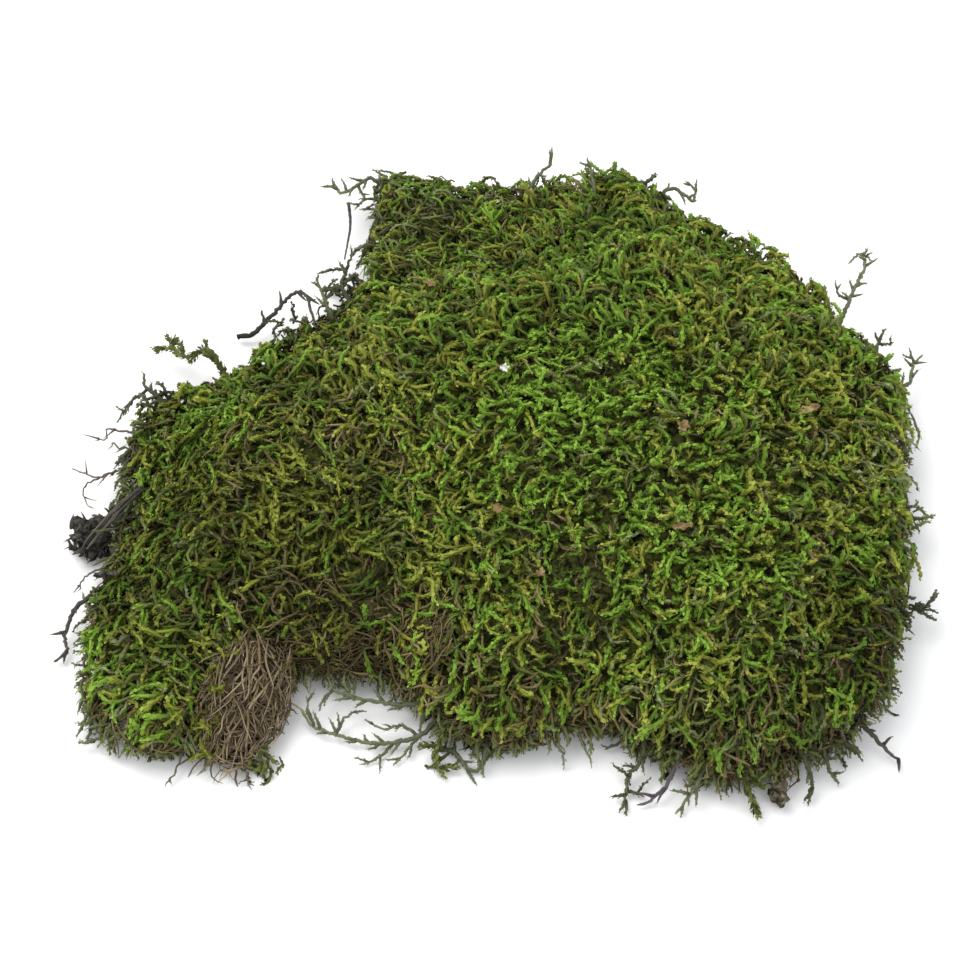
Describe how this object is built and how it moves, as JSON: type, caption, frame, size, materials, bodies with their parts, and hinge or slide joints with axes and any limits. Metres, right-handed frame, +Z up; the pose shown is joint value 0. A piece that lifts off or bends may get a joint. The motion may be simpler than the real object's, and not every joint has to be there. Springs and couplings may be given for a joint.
{
  "type": "moss clump",
  "caption": "Hand-sized clump of carpet moss: a domed mat of curled leafy shoots with loose fronds, twigs and bark bits, resting on its flat torn underside.",
  "frame": {"origin": "on the flat underside, below the middle of the clump", "axes": "+Z up out of the moss, +X along the clump's long side, -Y towards its front edge with the notch"},
  "size_m": [0.1831, 0.1607, 0.028],
  "materials": {
    "green_moss": "curled leafy shoots, yellow-green tips over dark gaps",
    "olive_moss": "darker grey-green shoots, lower and finer",
    "dead_thatch": "tan and brown dead stems with felted rhizoids",
    "green_shoot": "fresh green leafy shoot",
    "dull_frond": "dull grey-green frond",
    "dark_frond": "dark, half dead frond",
    "purple_twig": "purple-grey bare stem",
    "purple_stalk": "smooth purple-black stalk",
    "dark_twig": "dark brown rough twig",
    "fine_stem": "thin grey-brown dead stem",
    "bark": "near-black rough bark",
    "grey_bark": "grey-brown fibrous bark",
    "soil_crumb": "dark crumb of soil and dead stems",
    "dry_leaf": "dry tan leaf bit",
    "white_crumb": "pale dry crumb"
  },
  "bodies": {
    "root": {"moss_mat": "green_moss", "back_sod": "olive_moss", "thatch_wad": "dead_thatch", "notch_frond_low": "dull_frond", "notch_frond_high": "dull_frond", "front_shoot": "green_shoot", "front_loop": "dull_frond", "corner_frond": "dark_frond", "corner_twig": "purple_twig", "corner_shoot": "dull_frond", "fringe_shoot": "green_shoot", "hanging_shoot_left": "dark_frond", "hanging_shoot_right": "dark_frond", "corner_spur": "dark_twig", "right_frond": "dull_frond", "right_tuft": "dull_frond", "right_twiglet": "dark_frond", "hooked_tuft": "dull_frond", "top_spike_left": "dull_frond", "top_spike_right": "dull_frond", "back_left_frond": "dull_frond", "dark_stalk": "purple_stalk", "back_left_tuft": "dark_frond", "back_twig": "dark_twig", "back_shoot": "dull_frond", "left_leafy_shoot": "green_shoot", "left_tuft": "dark_frond", "left_squiggle": "fine_stem", "left_fine_stem": "fine_stem", "left_hook": "fine_stem", "left_hair": "fine_stem", "left_dark_stem": "dark_twig", "front_left_tip": "fine_stem", "wad_tip": "fine_stem", "bark_flake": "bark", "bark_strip": "grey_bark", "dark_stick": "dark_twig", "soil_crumb": "soil_crumb", "leaf_bit_right": "dry_leaf", "leaf_bit_middle": "dry_leaf", "leaf_bit_back": "dry_leaf", "leaf_bit_front": "dry_leaf", "leaf_crumb_left": "dry_leaf", "leaf_crumb_front": "dry_leaf", "white_fleck": "white_crumb"}
  },
  "joints": []
}
